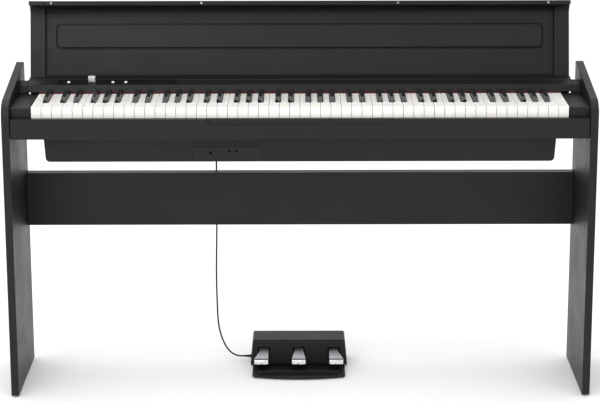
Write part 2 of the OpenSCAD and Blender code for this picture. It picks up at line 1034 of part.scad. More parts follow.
// Turns [u, v] points along the lid into the closed lid's y-z outline
function lid_points(list) = [for (p = list) [-p[0], p[1]]];

// The lid's end-on outline: its inside lies at v = under, and its lip is lip_w thick
module lid_outline(under, in_r, lip_w, lip_end) {
  in_u = lid_tip_u - lip_w;
  polygon(lid_points(concat(
    [[-lid_tail, under], [-lid_tail, lid_top]],
    arc([lid_arc_u, lid_arc_v], lid_curve_r, 90, 0, 16),
    [[lid_tip_u, lip_end], [in_u, lip_end]],
    arc([in_u - in_r, under - in_r], in_r, 0, 90, 14)
  )));
}

module rest_plan(grow, r) {
  x = rest_x + grow;
  y0 = -rest_u - rest_h - grow;
  y1 = -rest_u + grow;
  polygon(concat(
    arc([x - r, y0 + r], r, -90, 0, 8),
    arc([x - r, y1 - r], r, 0, 90, 8),
    arc([r - x, y1 - r], r, 90, 180, 8),
    arc([r - x, y0 + r], r, 180, 270, 8)
  ));
}

module lid_panel() {
  color(panel_black)
    on_lid()
      difference() {
        along_x(-panel_in_x, panel_in_x)
          lid_outline(panel_under, panel_in_r, lip_t, lip_v + strip_t);
        // Pocket that the music rest lies in
        translate([0, 0, panel_under - eps])
          linear_extrude(rest_t + 0.5 + eps)
            rest_plan(rest_gap, rest_corner_r - 4);
        both_sides()
          rod_x(rest_x - 2, rest_x + rest_pin_reach, rest_pin_r + run_gap, -rest_axis_u, rest_axis_v);
      }
}

module lid_cap() {
  color(panel_black)
    along_x(panel_in_x, lid_x)
      lid_outline(lid_under, cap_in_r, cap_lip_t, lip_v);
}

module lid_cap_right() {
  on_lid()
    lid_cap();
}

module lid_cap_left() {
  on_lid()
    mirror([1, 0, 0])
      lid_cap();
}

strip_inset = 0.8;
module lid_lip_strip() {
  color(case_black)
    on_lid()
      block([0.5 - panel_in_x, strip_inset - lid_tip_u, lip_v],
            [panel_in_x - 0.5, -lip_in_u - strip_inset, lip_v + strip_t]);
}

screw_r = 2.6;
screw_x = [panel_in_x * 0.384, panel_in_x - 18];
screw_head_h = 0.9;
module lid_screws() {
  mid = -(lid_tip_u + lip_in_u) / 2;
  color(steel)
    on_lid()
      both_sides()
        for (x = screw_x)
          translate([x, mid, lip_v - screw_head_h])
            difference() {
              cylinder(h = screw_head_h, r = screw_r);
              translate([-1.6, -0.3, -eps])
                cube([3.2, 0.6, eps + 0.5]);
              translate([-0.3, -1.6, -eps])
                cube([0.6, 3.2, eps + 0.5]);
            }
}

plate_r = 10;
module lid_hinge_plates() {
  color(steel)
    on_lid()
      both_sides()
        difference() {
          union() {
            rod_x(lid_x, lid_x + plate_t, plate_r, 0, 0);
            block([lid_x, -plate_r, 0], [lid_x + plate_t, plate_r, lid_top - 5]);
          }
          rod_x(lid_x - eps, lid_x + plate_t + eps, pin_r + run_gap, 0, 0);
        }
}

pin_flange_t = 1.5;
module lid_pivot_pins() {
  color(steel)
    in_frame()
      both_sides() {
        rod_x(lid_x - 0.4, inner_x - pin_flange_t, pin_r, hinge_y, hinge_z);
        rod_x(inner_x - pin_flange_t, inner_x, pin_r * 3, hinge_y, hinge_z);
      }
}

module music_rest() {
  color(panel_black)
    on_lid() {
      intersection() {
        translate([0, 0, panel_under])
          linear_extrude(rest_t)
            rest_plan(0, rest_corner_r);
        union() {
          rod_x(-rest_x, rest_x, rest_t / 2, -rest_axis_u, rest_axis_v);
          block([-rest_x, -rest_u - rest_h, panel_under], [rest_x, -rest_axis_u, panel_under + rest_t]);
        }
      }
      both_sides()
        rod_x(rest_x - 4, rest_x + rest_pin_reach - 0.5, rest_pin_r, -rest_axis_u, rest_axis_v);
    }
}

/* ---- Pedal unit ---- */

base_bow = 12;
base_corner_r = 12;
ridge_r = 5;
ridge_h = 7.5;
ridge_y = unit_front + 30;
ridge_x = base_x - 20;

module pedal_base_plan() {
  r = base_corner_r;
  y0 = unit_front + base_bow;
  y1 = unit_rear - 6;
  span = base_x - r;
  bow = [for (i = [0:16]) let (x = -span + 2 * span * i / 16)
    [x, y0 - base_bow * (1 - pow(x / span, 2))]];
  polygon(concat(
    bow,
    arc([base_x - r, y0 + r], r, -80, 0, 6),
    arc([base_x - 4, y1 - 4], 4, 0, 90, 4),
    arc([4 - base_x, y1 - 4], 4, 90, 180, 4),
    arc([r - base_x, y0 + r], r, 180, 260, 6)
  ));
}

module pedal_base() {
  color(case_black)
    in_unit() {
      translate([0, 0, feet_h])
        linear_extrude(base_t)
          pedal_base_plan();
      // Ridge bar with round ends, in front of the pedals
      block([-ridge_x, ridge_y - ridge_r, base_top], [ridge_x, ridge_y + ridge_r, base_top + ridge_h]);
      both_sides()
        translate([ridge_x, ridge_y, base_top])
          cylinder(h = ridge_h, r = ridge_r);
      // Brackets that carry the pedals' rod
      for (x = bracket_x)
        difference() {
          block([x - bracket_t / 2, pedal_rod_y - 8, base_top],
                [x + bracket_t / 2, pedal_rod_y + 7, pedal_rod_z + 6.5]);
          rod_x(x - bracket_t, x + bracket_t, pedal_rod_r, pedal_rod_y, pedal_rod_z);
        }
    }
}

shell_t = 3;
post_x = 62;
cover_post_y = [unit_rear - 57, unit_rear - 33];
slot_low = pedal_z - pedal_t - 7;
slot_high = pedal_z + 13;

module cover_side(inset) {
  low = inset > 0 ? eps : 0;
  lean = (cover_top_front - cover_front) / (unit_h - cover_z);
  polygon([
    [cover_front + inset - lean * low, cover_z - low],
    [cover_top_front + inset - 2, unit_h - 4 - inset * 0.6],
    [cover_top_front + inset + 2, unit_h - inset],
    [unit_rear - 6 - inset, unit_h - inset],
    [unit_rear - 3 - inset, unit_h - 3 - inset],
    [unit_rear - inset, cover_z - low],
  ]);
}

module cover_face(inset) {
  low = inset > 0 ? eps : 0;
  polygon([
    [inset - unit_w / 2, cover_z - low], [unit_w / 2 - inset, cover_z - low],
    [cover_top_x - inset, unit_h - 3 - inset], [cover_top_x - 3 - inset, unit_h - inset],
    [3 + inset - cover_top_x, unit_h - inset], [inset - cover_top_x, unit_h - 3 - inset],
  ]);
}

module cover_body(inset) {
  intersection() {
    along_x(-unit_w, unit_w)
      cover_side(inset);
    along_y(unit_front, unit_rear + eps)
      cover_face(inset);
  }
}

module pedal_cover() {
  color(case_black)
    in_unit() {
      difference() {
        cover_body(0);
        cover_body(shell_t);
        for (k = [-1, 0, 1])
          block([k * pedal_pitch - pedal_w / 2 - slot_side_gap, cover_front - 5, slot_low],
                [k * pedal_pitch + pedal_w / 2 + slot_side_gap, cover_top_front + 4, slot_high]);
        // The front wall stands on the base plate
        block([-base_x - 1, unit_front, 0], [base_x + 1, unit_rear - shell_t - eps, base_top]);
        rod_x(-unit_w, 0, gland_r, gland_y, gland_z);
      }
      // Posts that stand on the base
      both_sides()
        for (y = cover_post_y)
          translate([post_x, y, base_top])
            cylinder(h = unit_h - shell_t - base_top, r = 4);
    }
}

foot_pad_r = 8;
module pedal_feet() {
  color(rubber)
    in_unit()
      both_sides()
        for (y = [unit_front + 42, unit_rear - 25])
          translate([base_x - 20, y, 0])
            cylinder(h = feet_h, r = foot_pad_r);
}

module pedal_pivot_rod() {
  reach = bracket_x[3] + bracket_t / 2;
  color(steel)
    in_unit()
      rod_x(-reach, reach, pedal_rod_r, pedal_rod_y, pedal_rod_z);
}

// Side from 0 to 1 that each pedal's spring lies on, and the spring's turns
spring_turns = 6;
spring_wire = 1.4;
spring_r = pedal_rod_r + 0.4 + spring_wire / 2;

// One turned solid per spring, waved like the turns of a torsion coil
module pedal_springs() {
  color(steel)
    in_unit()
      for (k = [-1, 0, 1])
        translate([k * pedal_pitch + (k > 0 ? -1 : 1) * (pedal_w / 2 + 1.5), pedal_rod_y, pedal_rod_z])
          rotate([0, k > 0 ? -90 : 90, 0])
            rotate_extrude()
              polygon(concat(
                [[spring_r - 0.3, 0]],
                [for (t = [0:spring_turns - 1]) each [
                  [spring_r, t * spring_wire],
                  [spring_r + spring_wire / 2, (t + 0.5) * spring_wire]]],
                [[spring_r, spring_turns * spring_wire], [spring_r - 0.3, spring_turns * spring_wire]]
              ));
}

// Plan of a pedal: side -1 and 1 widen on the outside only, 0 on both sides
module pedal_plan(side) {
  grow = pedal_tip_w - pedal_w;
  left = pedal_w / 2 + (side < 0 ? grow : side > 0 ? 0 : grow / 2);
  right = pedal_w / 2 + (side > 0 ? grow : side < 0 ? 0 : grow / 2);
  bow = 3;
  flare_y = pedal_front + 12;
  neck_y = cover_front + 8;
  polygon(concat(
    [for (i = [0:10]) let (x = -left + (left + right) * i / 10)
      [x, pedal_front + bow * pow(2 * (i / 10) - 1, 2)]],
    [[right, flare_y], [pedal_w / 2, neck_y], [pedal_w / 2, pedal_rear],
     [-pedal_w / 2, pedal_rear], [-pedal_w / 2, neck_y], [-left, flare_y]]
  ));
}

module pedal_side() {
  r = 4;
  lip_low = pedal_z - pedal_lip_h;
  polygon(concat(
    arc([pedal_front + r, pedal_z - r], r, 180, 90, 6),
    [[pedal_rear, pedal_z], [pedal_rear, pedal_z - pedal_t]],
    [[pedal_front + 9, pedal_z - pedal_t], [pedal_front + 6.5, pedal_z - pedal_t - 3]],
    [[pedal_front + 6.5, lip_low], [pedal_front, lip_low]]
  ));
}

module pedal(side) {
  color(chrome)
    in_unit()
      translate([side * pedal_pitch, 0, 0])
        difference() {
          union() {
            intersection() {
              linear_extrude(pedal_z + eps)
                pedal_plan(side);
              along_x(-pedal_tip_w, pedal_tip_w)
                pedal_side();
            }
            rod_x(-pedal_w / 2, pedal_w / 2, pedal_hub_r, pedal_rod_y, pedal_rod_z);
          }
          rod_x(-pedal_w, pedal_w, pedal_rod_r + run_gap, pedal_rod_y, pedal_rod_z);
        }
}

module soft_pedal() {
  pedal(-1);
}

module sostenuto_pedal() {
  pedal(0);
}

module damper_pedal() {
  pedal(1);
}

/* ---- Pedal cord ---- */

cord_r = cord_d / 2;
relief_tip_r = cord_r + 0.6;

// A smooth curve through the route's points
function curve_point(p0, p1, p2, p3, t) =
  0.5 * (2 * p1 + (p2 - p0) * t + (2 * p0 - 5 * p1 + 4 * p2 - p3) * t * t
    + (3 * p1 - p0 - 3 * p2 + p3) * t * t * t);
function curve(pts, steps) = let (n = len(pts)) concat(
  [for (i = [0:n - 2], s = [0:steps - 1])
    curve_point(pts[max(i - 1, 0)], pts[i], pts[i + 1], pts[min(i + 2, n - 1)], s / steps)],
  [pts[n - 1]]);
function unit(v) = v / norm(v);

// Direction of the curve at its point i; the ends point straight out of plug and gland
function heading(c, i) = i == 0 ? [0, 1, 0]
  : i == len(c) - 1 ? [1, 0, 0] : unit(c[i + 1] - c[i - 1]);

module tube(c, r, sides) {
  ref = unit([1, 1, 1]);
  n = len(c);
  points = [for (i = [0:n - 1])
    let (t = heading(c, i), a = unit(cross(t, ref)), b = cross(t, a))
      for (k = [0:sides - 1]) c[i] + r * (cos(360 * k / sides) * a + sin(360 * k / sides) * b)];
  walls = [for (i = [0:n - 2], k = [0:sides - 1])
    let (j = (k + 1) % sides) [i * sides + k, (i + 1) * sides + k, (i + 1) * sides + j, i * sides + j]];
  start = [for (k = [0:sides - 1]) k];
  finish = [for (k = [sides - 1:-1:0]) (n - 1) * sides + k];
  polyhedron(points, concat(walls, [start], [finish]), convexity = 10);
}

module pedal_cord() {
  color(rubber)
    in_frame()
      tube(curve(cord_route, cord_steps), cord_r, cord_sides);
}

// Plug in the pedal socket: pin, grip and tapered relief, turned about the pin's axis
module cord_plug() {
  face = body_rear + rear_flange_t;
  reach = cord_route[0][1] - face;
  color(rubber)
    in_frame()
      translate([plug_x, face, rear_socket_z])
        rotate([-90, 0, 0])
          rotate_extrude()
            polygon([
              [0, -17], [phone_hole_r - 0.1, -15], [phone_hole_r - 0.1, 0],
              [6, 0], [6.5, 2], [6.5, reach - 24], [5, reach - 20],
              [relief_tip_r, reach], [0, reach],
            ]);
}

// Gland and tapered relief where the cord enters the pedal unit
module cord_relief() {
  tip = cord_route[len(cord_route) - 1][0];
  wall = unit_x - unit_w / 2 + (gland_z - cover_z) * (unit_w / 2 - cover_top_x) / (unit_h - cover_z);
  color(rubber)
    in_frame()
      translate([tip, gland_y, gland_z])
        rotate([0, 90, 0])
          rotate_extrude()
            polygon([
              [0, 0], [relief_tip_r, 0], [gland_r - 0.4, wall - tip - 2.5],
              [gland_r + 1, wall - tip - 2.5], [gland_r + 1, wall - tip - 0.5],
              [gland_r, wall - tip - 0.5], [gland_r, wall - tip + 4], [0, wall - tip + 4],
            ]);
}

side_panel_left();
side_panel_right();
cross_brace();
foot_glides();
stand_bolts();
front_rail();
cheek_left();
cheek_right();
key_bed();
lower_case();
control_panel();
panel_insert();
rear_cover();
jack_panel();
sockets();
key_felt();
action_frame();
key_pivot_rod();
contact_board();
contact_domes();
control_board();
main_board();
speaker_left();
speaker_right();
power_button();
song_button();
sound_button();
volume_slider();
power_led();
lid_panel();
lid_cap_left();
lid_cap_right();
lid_lip_strip();
lid_screws();
lid_hinge_plates();
lid_pivot_pins();
music_rest();
keys_c();
keys_c_sharp();
keys_d();
keys_d_sharp();
keys_e();
keys_f();
keys_f_sharp();
keys_g();
keys_g_sharp();
keys_a();
keys_a_sharp();
keys_b();
pedal_base();
pedal_cover();
pedal_feet();
pedal_pivot_rod();
pedal_springs();
soft_pedal();
sostenuto_pedal();
damper_pedal();
pedal_cord();
cord_plug();
cord_relief();
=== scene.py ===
"""Looks of the digital piano on its stand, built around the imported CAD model.

Metres, in the CAD's own frame: X along the keyboard, +Y to the back, +Z up from the floor.
"""
import math

import bpy
from mathutils import Matrix, Vector


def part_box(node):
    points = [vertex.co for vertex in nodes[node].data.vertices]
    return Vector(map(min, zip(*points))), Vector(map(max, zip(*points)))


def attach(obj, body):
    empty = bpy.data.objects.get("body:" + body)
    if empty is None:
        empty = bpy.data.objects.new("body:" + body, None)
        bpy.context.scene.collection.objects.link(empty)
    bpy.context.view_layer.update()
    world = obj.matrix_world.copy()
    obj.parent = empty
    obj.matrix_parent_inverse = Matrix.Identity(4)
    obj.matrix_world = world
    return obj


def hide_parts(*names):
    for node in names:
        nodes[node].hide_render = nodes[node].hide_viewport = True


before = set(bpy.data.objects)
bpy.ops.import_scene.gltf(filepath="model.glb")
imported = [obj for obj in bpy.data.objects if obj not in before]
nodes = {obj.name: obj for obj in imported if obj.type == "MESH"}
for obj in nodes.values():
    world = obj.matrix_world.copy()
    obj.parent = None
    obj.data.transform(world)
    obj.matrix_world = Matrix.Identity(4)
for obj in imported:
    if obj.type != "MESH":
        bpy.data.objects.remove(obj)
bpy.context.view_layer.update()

# Front plane of the side panels, which the camera and the cord are measured from
FRONT_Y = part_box("side_panel_left")[0].y

# ---- Camera ----

CAMERA_BACK = 4.302
CAMERA_HEIGHT = 1.617
CAMERA_TILT = math.radians(13.45)
CAMERA_ROLL = math.radians(0.12)
LENS_MM = 116.7
SENSOR_MM = 36
SHIFT_Y = -0.08
FARTHEST_SEEN = 60


def add_camera():
    data = bpy.data.cameras.new("camera")
    data.lens = LENS_MM
    data.sensor_width = SENSOR_MM
    data.shift_y = SHIFT_Y
    data.clip_end = FARTHEST_SEEN
    camera = bpy.data.objects.new("camera", data)
    bpy.context.scene.collection.objects.link(camera)
    camera.matrix_world = (
        Matrix.Translation((0, FRONT_Y - CAMERA_BACK, CAMERA_HEIGHT))
        @ Matrix.Rotation(math.pi / 2 - CAMERA_TILT, 4, "X")
        @ Matrix.Rotation(-CAMERA_ROLL, 4, "Z")
    )
    bpy.context.scene.camera = camera


# ---- Material nodes ----


def srgb(red, green, blue):
    """A colour given from 0 to 255 as the eye sees it, as a linear colour."""

    def linear(value):
        value /= 255
        return value / 12.92 if value <= 0.04045 else ((value + 0.055) / 1.055) ** 2.4

    return (linear(red), linear(green), linear(blue), 1)


# A mix node has sockets of the same names for numbers, vectors and colours: these are the colours'
MIX_COLOUR_A = 6
MIX_COLOUR_B = 7
MIX_COLOUR_OUT = 2


class Shader:
    """A material's nodes, with short calls for the kinds used here."""

    def __init__(self, name):
        self.material = bpy.data.materials.new(name)
        self.material.use_nodes = True
        self.tree = self.material.node_tree
        self.bsdf = self.tree.nodes["Principled BSDF"]
        self.coords = self.add("ShaderNodeTexCoord")
        self.place = self.coords.outputs["Object"]
        self.normal = None

    def add(self, kind, inputs=None, **settings):
        node = self.tree.nodes.new(kind)
        for key, value in settings.items():
            setattr(node, key, value)
        for key, value in (inputs or {}).items():
            self.put(node.inputs[key], value)
        return node

    def put(self, socket, value):
        if isinstance(value, bpy.types.NodeSocket):
            self.tree.links.new(value, socket)
        else:
            socket.default_value = value

    def set(self, **values):
        """Sets inputs of the surface shader; an underscore in a name stands for a space."""
        for key, value in values.items():
            self.put(self.bsdf.inputs[key.replace("_", " ")], value)

    def stretched(self, stretch, turn=(0, 0, 0)):
        """The place with each axis scaled, and turned by angles in radians."""
        node = self.add("ShaderNodeMapping", {"Vector": self.place, "Scale": stretch, "Rotation": turn})
        return node.outputs["Vector"]

    def noise(self, scale, detail=3, rough=0.5, stretch=None, distortion=0):
        place = self.stretched(stretch) if stretch else self.place
        node = self.add(
            "ShaderNodeTexNoise",
            {"Vector": place, "Scale": scale, "Detail": detail, "Roughness": rough,
             "Distortion": distortion},
        )
        return node.outputs["Fac"]

    def cells(self, scale, randomness=1, stretch=None):
        """A node with each cell's own colour and the distance from its middle."""
        place = self.stretched(stretch) if stretch else self.place
        return self.add(
            "ShaderNodeTexVoronoi",
            {"Vector": place, "Scale": scale, "Randomness": randomness},
        )

    def waves(self, scale, direction="X", turn=(0, 0, 0), distortion=0, profile="SIN"):
        node = self.add(
            "ShaderNodeTexWave",
            {"Vector": self.stretched((1, 1, 1), turn), "Scale": scale, "Distortion": distortion},
            bands_direction=direction, wave_profile=profile,
        )
        return node.outputs["Fac"]

    def fade(self, value, low, high, to_low=0.0, to_high=1.0):
        """Maps value from low..high to to_low..to_high, held at the ends."""
        node = self.add(
            "ShaderNodeMapRange",
            {"Value": value, "From Min": low, "From Max": high, "To Min": to_low, "To Max": to_high},
        )
        return node.outputs["Result"]

    def math(self, operation, a, b=0.0):
        node = self.add("ShaderNodeMath", operation=operation)
        self.put(node.inputs[0], a)
        self.put(node.inputs[1], b)
        return node.outputs["Value"]

    def mix(self, share, a, b):
        """Colour a where share is 0, and b where it is 1."""
        node = self.add("ShaderNodeMix", data_type="RGBA")
        self.put(node.inputs["Factor"], share)
        self.put(node.inputs[MIX_COLOUR_A], a)
        self.put(node.inputs[MIX_COLOUR_B], b)
        return node.outputs[MIX_COLOUR_OUT]

    def axis(self, name, source="Object"):
        """One axis of the place or of the face's direction, both in the object's own frame."""
        node = self.add("ShaderNodeSeparateXYZ", {"Vector": self.coords.outputs[source]})
        return node.outputs[name]

    def bump(self, height, depth, strength=1.0):
        """Adds relief of that depth in metres, on top of what is there."""
        inputs = {"Height": height, "Distance": depth, "Strength": strength}
        if self.normal is not None:
            inputs["Normal"] = self.normal
        self.normal = self.add("ShaderNodeBump", inputs).outputs["Normal"]
        self.put(self.bsdf.inputs["Normal"], self.normal)


# ---- Materials ----


# How much darker and lighter than its tone a satin surface gets in soft patches
PATCH_CONTRAST = 0.12


def satin(name, tone, rough, grain=1400, depth=2.5e-5, level=0.28):
    """Painted board or moulded plastic: fine grain, faint dust and handling marks."""
    s = Shader(name)
    cloud = s.noise(2.2, 5, 0.6)
    fine = s.noise(grain, 2, 0.6)
    specks = s.fade(s.cells(520).outputs["Distance"], 0.03, 0.06, 1, 0)
    dull = tuple(c * (1 - PATCH_CONTRAST) for c in tone[:3]) + (1,)
    pale = tuple(c * (1 + PATCH_CONTRAST) for c in tone[:3]) + (1,)
    base = s.mix(s.fade(cloud, 0.35, 0.65), dull, pale)
    dusty = s.mix(s.math("MULTIPLY", specks, 0.05), base, srgb(150, 150, 145))
    marks = s.noise(9, 6, 0.7, stretch=(0.35, 1, 1))
    s.set(
        Base_Color=s.mix(s.fade(fine, 0.3, 0.7, 0, 0.25), dusty, pale),
        Roughness=s.fade(marks, 0.35, 0.7, rough - 0.05, rough + 0.06),
        Specular_IOR_Level=level,
    )
    s.bump(fine, depth)
    s.bump(cloud, 2e-4, 0.15)
    return s.material


def panel():
    return satin("panel", srgb(16, 19, 18), 0.45)


def lid():
    return satin("lid", srgb(16, 19, 18), 0.45)


def rest():
    return satin("rest", srgb(19, 22, 21), 0.45)


def lid_strip():
    return satin("lid_strip", srgb(8, 9, 9), 0.5, grain=1900)


def case():
    return satin("case", srgb(17, 19, 18), 0.5, grain=1100, depth=4e-5)


def control():
    return satin("control", srgb(14, 17, 16), 0.42, grain=1600, depth=1.2e-5)


def pedal_case():
    return satin("pedal_case", srgb(9, 10, 10), 0.5, grain=900, depth=5e-5, level=0.3)


def socket_panel():
    return satin("socket_panel", srgb(18, 19, 19), 0.3, grain=2200, depth=8e-6)


def hinge():
    return satin("hinge", srgb(16, 17, 17), 0.38, grain=1800, depth=1e-5)


def rubber():
    return satin("rubber", srgb(24, 24, 24), 0.62, grain=2400, depth=2e-5, level=0.35)


def cord():
    return satin("cord", srgb(22, 22, 23), 0.45, grain=2600, depth=1.2e-5)


def gloss():
    """Polished acrylic strip with faint hairline scratches."""
    s = Shader("gloss")
    smear = s.noise(24, 5, 0.65, stretch=(0.3, 1, 1))
    scratch = s.noise(700, 2, 0.5, stretch=(0.02, 1, 1))
    s.set(
        Base_Color=s.mix(s.fade(smear, 0.4, 0.7), srgb(9, 10, 11), srgb(14, 15, 16)),
        Roughness=s.fade(smear, 0.35, 0.75, 0.04, 0.14),
        Specular_IOR_Level=0.5,
    )
    s.bump(scratch, 1.5e-6)
    return s.material


def felt():
    """Red wool felt: matted fibres and a soft sheen."""
    s = Shader("felt")
    fibres = s.noise(900, 6, 0.75, stretch=(0.5, 1, 1), distortion=1.5)
    lumps = s.noise(160, 4, 0.6)
    s.set(
        Base_Color=s.mix(s.fade(fibres, 0.3, 0.7), srgb(72, 8, 16), srgb(122, 22, 32)),
        Roughness=0.95,
        Sheen_Weight=0.5,
        Sheen_Roughness=0.4,
        Specular_IOR_Level=0.2,
    )
    s.bump(fibres, 2.5e-4)
    s.bump(lumps, 2e-4, 0.6)
    return s.material


def bed_wood():
    """Pressed chipboard: pale and dark flakes lying along the board."""
    s = Shader("bed_wood")
    flakes = s.cells(420, stretch=(0.35, 1, 1.6))
    crumbs = s.noise(1200, 4, 0.7)
    tone = s.mix(flakes.outputs["Color"], srgb(118, 92, 62), srgb(186, 158, 118))
    s.set(
        Base_Color=s.mix(s.fade(crumbs, 0.35, 0.75, 0, 0.5), tone, srgb(92, 70, 46)),
        Roughness=s.fade(crumbs, 0.3, 0.7, 0.7, 0.9),
    )
    s.bump(flakes.outputs["Distance"], 3e-4, 0.7)
    s.bump(crumbs, 1e-4)
    return s.material


def frame_metal():
    """Zinc-plated sheet with the plating's cloudy patches."""
    s = Shader("frame")
    patches = s.cells(60, stretch=(0.5, 1, 1))
    grain = s.noise(800, 3, 0.6, stretch=(0.1, 1, 1))
    s.set(
        Base_Color=s.mix(patches.outputs["Color"], srgb(120, 122, 124), srgb(154, 156, 158)),
        Metallic=1.0,
        Roughness=s.fade(grain, 0.3, 0.7, 0.38, 0.52),
    )
    s.bump(grain, 1.5e-5)
    return s.material


def board():
    """Circuit board: solder mask over copper tracks, with plated pads."""
    s = Shader("board")
    tracks = s.fade(s.waves(110, "X", (0, 0, math.radians(45)), 6, "SAW"), 0.45, 0.5)
    blocks = s.cells(140, randomness=0.2, stretch=(1, 1, 0.01))
    pads = s.fade(blocks.outputs["Distance"], 0.16, 0.2, 1, 0)
    mask = s.mix(tracks, srgb(18, 74, 46), srgb(34, 104, 66))
    s.set(
        Base_Color=s.mix(pads, mask, srgb(196, 170, 96)),
        Metallic=pads,
        Roughness=s.fade(s.noise(300), 0.3, 0.7, 0.3, 0.45),
    )
    s.bump(tracks, 3.5e-5)
    return s.material


def speaker():
    """Pressed paper cone with fibre specks."""
    s = Shader("speaker")
    fibres = s.noise(1400, 5, 0.7)
    s.set(
        Base_Color=s.mix(s.fade(fibres, 0.35, 0.7), srgb(20, 20, 20), srgb(52, 50, 48)),
        Roughness=0.85,
    )
    s.bump(fibres, 1e-4)
    return s.material


def button():
    """Milky translucent cap with a satin skin."""
    s = Shader("button")
    skin = s.noise(1800, 2, 0.5)
    s.set(
        Base_Color=s.mix(s.fade(skin, 0.3, 0.7), srgb(214, 216, 214), srgb(236, 237, 234)),
        Roughness=s.fade(skin, 0.3, 0.7, 0.28, 0.4),
        Subsurface_Weight=0.3,
        Subsurface_Scale=0.002,
    )
    s.bump(skin, 1e-5)
    return s.material


def knob():
    """Silver-painted slider knob with fine ridges across its top."""
    s = Shader("knob")
    ridges = s.waves(260, "Y")
    flakes = s.noise(3200, 2, 0.6)
    s.set(
        Base_Color=s.mix(s.fade(flakes, 0.3, 0.7), srgb(186, 188, 190), srgb(226, 228, 229)),
        Metallic=0.85,
        Roughness=s.fade(flakes, 0.3, 0.7, 0.24, 0.36),
    )
    s.bump(s.math("MULTIPLY", ridges, s.fade(s.axis("Z", "Normal"), 0.6, 0.9)), 2.5e-4)
    return s.material


def led():
    """Unlit red lens, given a faint painted glow by its emission."""
    s = Shader("led")
    depth = s.noise(900, 2, 0.5)
    s.set(
        Base_Color=s.mix(s.fade(depth, 0.3, 0.7), srgb(84, 12, 14), srgb(132, 22, 24)),
        Roughness=0.12,
        # Painted glow: the unlit lens gets a faint red emission
        Emission_Color=srgb(255, 40, 30),
        Emission_Strength=0.04,
    )
    s.bump(depth, 1e-5)
    return s.material


def key_white():
    """Cast acrylic: warm white, a shade deeper in places, lightly rubbed by fingers."""
    s = Shader("key_white")
    cloud = s.noise(14, 4, 0.55)
    rubbed = s.noise(60, 5, 0.7, stretch=(1, 0.25, 1))
    hair = s.noise(2200, 2, 0.5, stretch=(1, 0.04, 1))
    s.set(
        Base_Color=s.mix(s.fade(cloud, 0.35, 0.65), srgb(243, 242, 237), srgb(246, 245, 240)),
        Roughness=s.fade(rubbed, 0.3, 0.75, 0.16, 0.34),
        Subsurface_Weight=0.12,
        Subsurface_Scale=0.003,
        Coat_Weight=0.25,
        Coat_Roughness=0.1,
    )
    s.bump(hair, 3e-6)
    s.bump(cloud, 2e-5, 0.2)
    return s.material


def key_black():
    """Satin black key: fine grain along its length, rubbed smoother in patches."""
    s = Shader("key_black")
    grain = s.noise(900, 3, 0.6, stretch=(1, 0.05, 1))
    rubbed = s.noise(70, 5, 0.65, stretch=(1, 0.4, 1))
    s.set(
        Base_Color=s.mix(s.fade(grain, 0.3, 0.7), srgb(16, 16, 17), srgb(26, 26, 27)),
        Roughness=s.fade(rubbed, 0.3, 0.7, 0.24, 0.4),
        Specular_IOR_Level=0.6,
    )
    s.bump(grain, 1.2e-5)
    return s.material


def steel():
    """Zinc-plated steel, turned or drawn."""
    s = Shader("steel")
    grain = s.noise(600, 3, 0.6, stretch=(0.08, 1, 1))
    stain = s.noise(40, 4, 0.6)
    s.set(
        Base_Color=s.mix(s.fade(stain, 0.35, 0.7), srgb(150, 152, 154), srgb(186, 187, 188)),
        Metallic=1.0,
        Roughness=s.fade(grain, 0.3, 0.7, 0.26, 0.42),
    )
    s.bump(grain, 8e-6)
    return s.material


# Smooth lip in front of a pedal's tread, front to back
PEDAL_LIP = 0.0125


def chrome():
    """Plated pedal: grained tread on its top face, bright lip, shoe scuffs."""
    s = Shader("chrome")
    tread_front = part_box("damper_pedal")[0].y + PEDAL_LIP
    up = s.fade(s.axis("Z", "Normal"), 0.9, 0.97)
    behind = s.fade(s.axis("Y"), tread_front, tread_front + 0.001)
    tread = s.math("MULTIPLY", up, behind)
    ribs = s.waves(210, "X", (0, 0, math.radians(42)))
    scuffs = s.noise(120, 5, 0.7, stretch=(1, 0.3, 1))
    smooth = s.fade(scuffs, 0.4, 0.75, 0.05, 0.2)
    rough = s.math("ADD", smooth, s.math("MULTIPLY", tread, 0.3))
    s.set(
        Base_Color=s.mix(tread, srgb(226, 228, 230), srgb(214, 217, 221)),
        Metallic=s.fade(tread, 0, 1, 1.0, 0.35),
        Roughness=rough,
    )
    s.bump(s.math("MULTIPLY", ribs, tread), 1.6e-4)
    s.bump(scuffs, 1e-5)
    return s.material


MATERIALS = {
    "panel": panel, "lid": lid, "rest": rest, "lid_strip": lid_strip, "bed_wood": bed_wood,
    "case": case, "control": control, "gloss": gloss, "socket_panel": socket_panel,
    "rubber": rubber, "felt": felt, "frame": frame_metal, "board": board, "speaker": speaker,
    "button": button, "knob": knob, "led": led, "key_white": key_white, "key_black": key_black,
    "hinge": hinge, "steel": steel, "chrome": chrome, "pedal_case": pedal_case, "cord": cord,
}

# Radius of the rounded edges of each node, in metres, where it isn't EDGE
EDGE = 0.0004
EDGES = {
    "side_panel_left": 0.0012, "side_panel_right": 0.0012, "cross_brace": 0.0008,
    "front_rail": 0.0012, "cheek_left": 0.001, "cheek_right": 0.001, "lower_case": 0.0008,
    "control_panel": 0.0007, "panel_insert": 0.0002, "rear_cover": 0.0008,
    "lid_panel": 0.0007, "lid_cap_left": 0.0012, "lid_cap_right": 0.0012,
    "music_rest": 0.0008, "pedal_base": 0.0008, "pedal_cover": 0.0012,
    "soft_pedal": 0.0008, "sostenuto_pedal": 0.0008, "damper_pedal": 0.0008,
    "volume_slider": 0.0006, "key_bed": 0.0005,
}
WHITE_EDGE = 0.0006
BLACK_EDGE = 0.001


# Points of the CAD's faces this close are one point
SAME_POINT = 1e-6
# Edges that turn by less than this, such as a curve's facets, aren't rounded
SHARP_ANGLE = math.radians(38)


